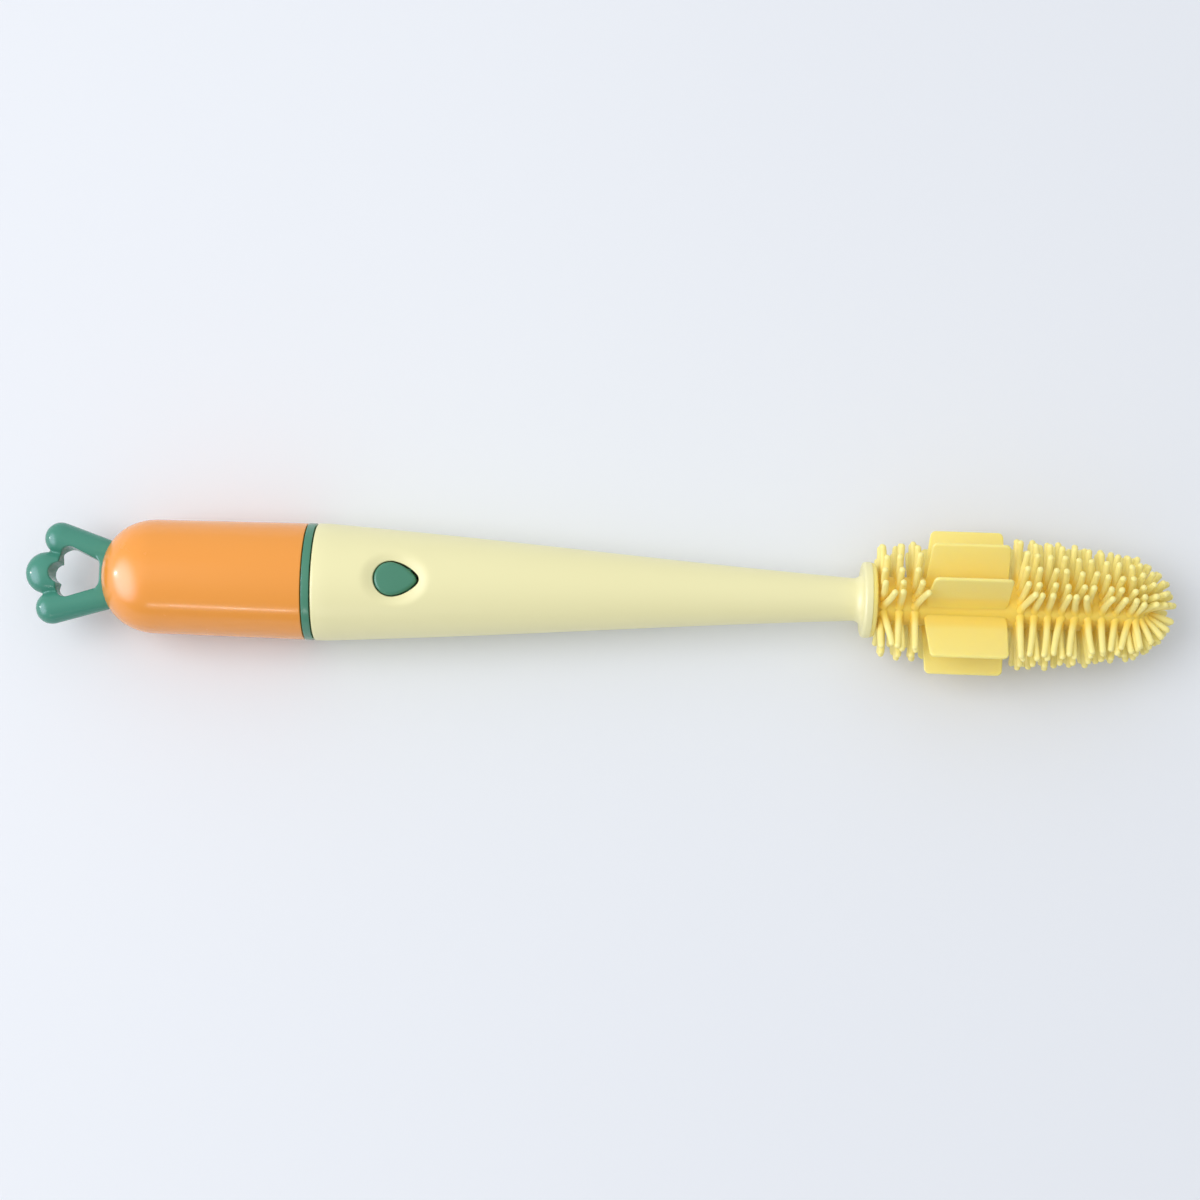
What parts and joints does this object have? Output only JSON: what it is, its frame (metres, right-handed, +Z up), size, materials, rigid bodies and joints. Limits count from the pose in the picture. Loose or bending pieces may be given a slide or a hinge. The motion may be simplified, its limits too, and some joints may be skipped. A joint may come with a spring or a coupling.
{
  "type": "bottle brush",
  "caption": "Bottle brush with a soft silicone head of fins and strands, a tapered handle with a latch button, and a pull-out domed grip that carries a slim brush and a hanging loop.",
  "frame": {"origin": "on the surface that the brush lies on, under the middle of its overall length and width", "axes": "+X runs along the brush towards the tip of its bristle head, +Z is up with the latch button on top, +Y is to the left of +X"},
  "size_m": [0.3602, 0.0452, 0.0406],
  "materials": {
    "cream_plastic": "satin moulded plastic, pale cream yellow",
    "orange_plastic": "glossy moulded plastic, warm orange",
    "green_plastic": "glossy moulded plastic, soft teal green",
    "pale_silicone": "soft satin silicone, pale yellow, slightly translucent",
    "core_plastic": "plain moulded plastic, off-white"
  },
  "bodies": {
    "handle": {"handle_shell": "cream_plastic", "core_rod": "core_plastic", "silicone_head": "pale_silicone"},
    "grip": {"grip_shell": "orange_plastic", "latch_collar": "green_plastic", "leaf_loop": "green_plastic", "small_brush_stem": "core_plastic", "small_brush_bristles": "pale_silicone"},
    "button": {"release_button": "green_plastic"}
  },
  "joints": [
    {"name": "grip_pull", "type": "slide", "parent": "handle", "child": "grip", "axis": [-1, 0, 0], "range_m": [0, 0.105], "deforming": ["release_button"]},
    {"name": "button_press", "type": "hinge", "parent": "grip", "child": "button", "pos_m": [-0.0888, 0, 0.0306], "axis": [0, 1, 0], "range_deg": [0, 12], "stiffness_Nm_per_rad": 1}
  ]
}
